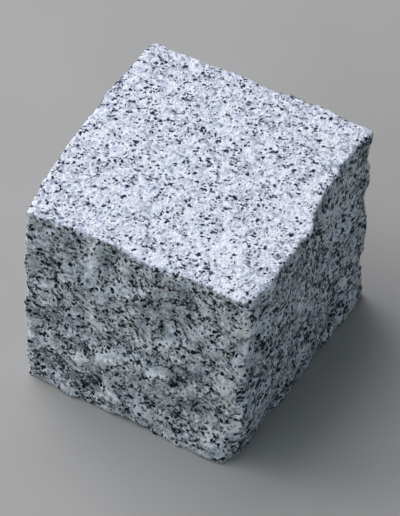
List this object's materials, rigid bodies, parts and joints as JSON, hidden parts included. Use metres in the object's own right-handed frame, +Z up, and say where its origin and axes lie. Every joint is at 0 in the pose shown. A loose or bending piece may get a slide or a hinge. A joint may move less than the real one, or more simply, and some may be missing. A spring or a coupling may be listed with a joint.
{
  "type": "granite paving stone",
  "caption": "Hand-split granite paving sett, a small near-cube with a flat dressed top, wavy riven sides and chipped arrises, laid on its flat bed.",
  "frame": {"origin": "on the bed, under the middle of the stone's bounding box", "axes": "+Z up from the bed to the dressed top, +Y from the front riven side to the back one along the stone's slightly longer way, +X to the right"},
  "size_m": [0.1034, 0.1087, 0.098],
  "materials": {
    "granite": "light grey medium-grained granite, dressed on top and riven on the sides"
  },
  "bodies": {
    "root": {"granite_sett": "granite"}
  },
  "joints": []
}
